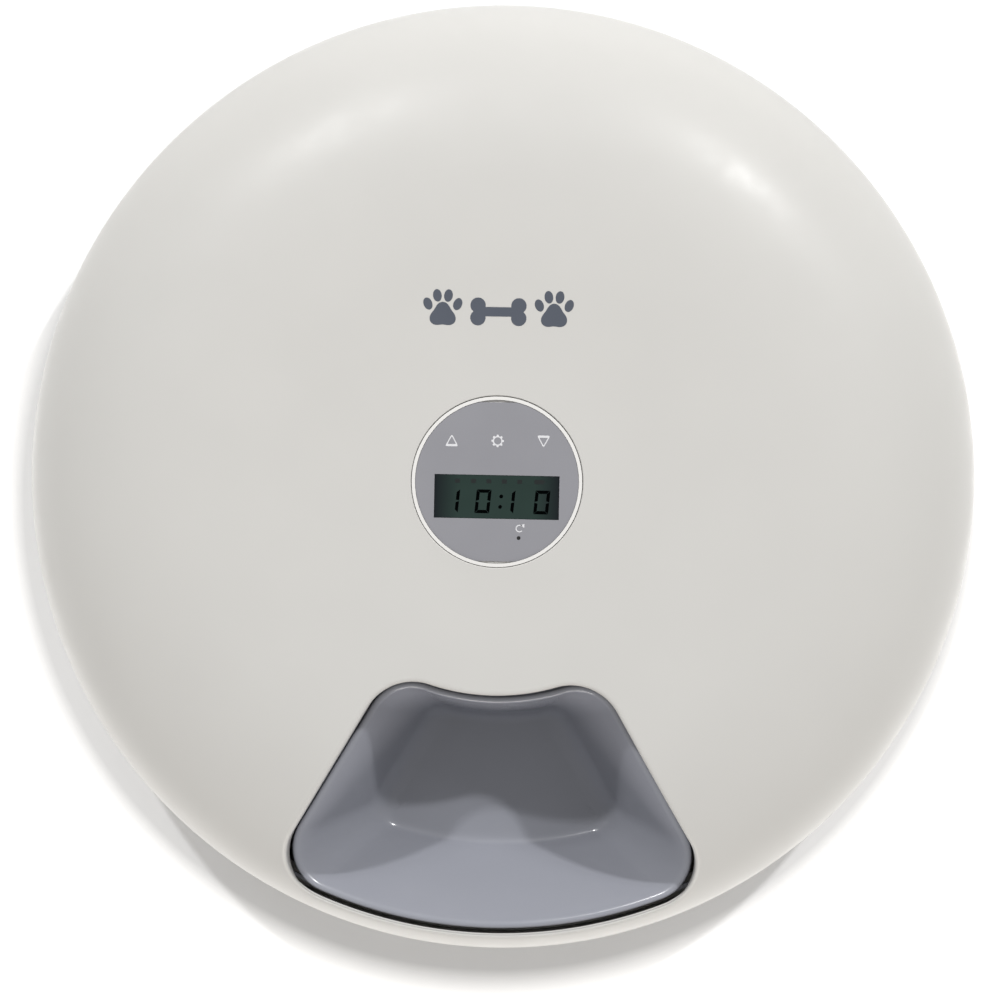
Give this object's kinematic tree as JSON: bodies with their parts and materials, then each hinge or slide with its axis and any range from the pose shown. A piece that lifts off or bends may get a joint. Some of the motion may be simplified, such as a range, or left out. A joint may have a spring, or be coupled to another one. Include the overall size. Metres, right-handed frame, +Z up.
{
  "type": "automatic pet feeder",
  "caption": "Round low pet feeder: a turning compartment tray under a domed lid with one meal opening, and a fixed control head with a display.",
  "frame": {"origin": "on the floor, at the centre of the feeder's round footprint, on the hub axis", "axes": "+Z up along the hub axis; the meal opening faces -Y; +X is to the right of someone facing the meal opening and looking along +Y"},
  "size_m": [0.32, 0.32, 0.072],
  "materials": {
    "shell": "satin off-white moulding",
    "tray": "semi-gloss grey moulding",
    "foot_rubber": "matte",
    "steel": "zinc plated",
    "magnet": "nickel plated",
    "cell_wrap": "plain film wrap",
    "board": "solder mask",
    "black_plastic": "matte",
    "nylon": "matte",
    "inner_plastic": "matte",
    "overlay": "printed film with a fine satin grain",
    "display_window": "dark tinted clear plastic",
    "display_glass": "polished, with dark segments",
    "ribbon": "matte",
    "red_lead": "matte",
    "black_lead": "matte"
  },
  "bodies": {
    "base": {"base_shell": "shell", "deck": "shell", "rubber_feet": "foot_rubber", "base_screws": "steel", "battery_box": "shell", "battery_cells": "cell_wrap", "battery_contacts": "steel", "power_socket": "steel", "socket_board": "board", "main_board": "board", "board_components": "black_plastic", "buzzer": "black_plastic", "board_screws": "steel", "gearbox_case": "nylon", "motor_can": "steel", "gearbox_screws": "steel", "hub_column": "shell", "column_screws": "steel", "glide_ring": "nylon", "sensor_board": "board", "head_bezel": "shell", "panel_plate": "shell", "panel_overlay": "overlay", "lcd_window": "display_window", "lcd_glass": "display_glass", "lcd_frame": "black_plastic", "display_board": "board", "tact_switches": "black_plastic", "display_screws": "steel", "ribbon_cable": "ribbon", "motor_leads": "red_lead", "battery_leads": "black_lead"},
    "tray": {"feed_tray": "tray", "turntable": "inner_plastic", "turntable_bush": "nylon", "ring_gear": "nylon", "index_magnets": "magnet"},
    "drive": {"drive_pinion": "nylon", "output_shaft": "steel"},
    "lid": {"lid_shell": "shell"},
    "battery_door": {"battery_door": "shell"},
    "up_key": {"up_key": "nylon"},
    "set_key": {"set_key": "nylon"},
    "down_key": {"down_key": "nylon"},
    "reset_key": {"reset_key": "black_plastic"}
  },
  "joints": [
    {"name": "tray_spin", "type": "hinge", "parent": "base", "child": "tray", "pos_m": [0, 0, 0.04], "axis": [0, 0, 1], "continuous": true},
    {"name": "drive_spin", "type": "hinge", "parent": "base", "child": "drive", "pos_m": [0, -0.05, 0.03], "axis": [0, 0, 1], "continuous": true},
    {"name": "lid_lift", "type": "slide", "parent": "base", "child": "lid", "axis": [0, 0, 1], "range_m": [0, 0.12]},
    {"name": "battery_door_hinge", "type": "hinge", "parent": "base", "child": "battery_door", "pos_m": [0, 0.0665, 0.004], "axis": [1, 0, 0], "range_deg": [0, 90]},
    {"name": "up_key_press", "type": "slide", "parent": "base", "child": "up_key", "axis": [0, 0, -1], "range_m": [0, 0.0003], "stiffness_N_per_m": 1000},
    {"name": "set_key_press", "type": "slide", "parent": "base", "child": "set_key", "axis": [0, 0, -1], "range_m": [0, 0.0003], "stiffness_N_per_m": 1000},
    {"name": "down_key_press", "type": "slide", "parent": "base", "child": "down_key", "axis": [0, 0, -1], "range_m": [0, 0.0003], "stiffness_N_per_m": 1000},
    {"name": "reset_key_press", "type": "slide", "parent": "base", "child": "reset_key", "axis": [0, 0, -1], "range_m": [0, 0.0003], "stiffness_N_per_m": 1000}
  ],
  "couplings": [
    {"joint": "drive_spin", "follows": "tray_spin", "ratio": -5.25}
  ]
}
